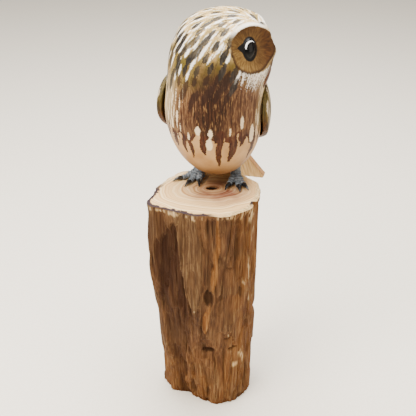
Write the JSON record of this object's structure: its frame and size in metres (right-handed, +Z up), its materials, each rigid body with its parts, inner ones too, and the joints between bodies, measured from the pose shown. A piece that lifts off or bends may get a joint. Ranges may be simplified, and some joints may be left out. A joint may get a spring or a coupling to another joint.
{
  "type": "owl figurine",
  "caption": "Carved and painted wooden owl with its head turned aside, pinned by its feet to the sanded top of an upright sawn log.",
  "frame": {"origin": "centre of the log's sawn foot, on the surface it stands on", "axes": "+Z up; -Y towards the onlooker in front, +X to the onlooker's right"},
  "size_m": [0.1177, 0.1354, 0.394],
  "materials": {
    "rough_log": "split and weathered sides, sanded top",
    "painted_wood": "hand painted and varnished",
    "dark_wood": "stained and varnished",
    "eye_gloss": "gloss black dome",
    "dowel_wood": "raw",
    "pale_wood": "satin varnish",
    "foot_cast": "painted resin, satin",
    "claw_gloss": "gloss black",
    "steel_pin": "plain drawn rod"
  },
  "bodies": {
    "root": {"log": "rough_log", "owl_body": "painted_wood", "beak": "dark_wood", "eye_left": "eye_gloss", "eye_right": "eye_gloss", "wing_left": "painted_wood", "wing_right": "painted_wood", "wing_dowels_left": "dowel_wood", "wing_dowels_right": "dowel_wood", "tail": "pale_wood", "foot_left": "foot_cast", "foot_right": "foot_cast", "claw_left_1": "claw_gloss", "claw_left_2": "claw_gloss", "claw_left_3": "claw_gloss", "claw_left_4": "claw_gloss", "claw_right_1": "claw_gloss", "claw_right_2": "claw_gloss", "claw_right_3": "claw_gloss", "claw_right_4": "claw_gloss", "leg_pin_left": "steel_pin", "leg_pin_right": "steel_pin"}
  },
  "joints": []
}
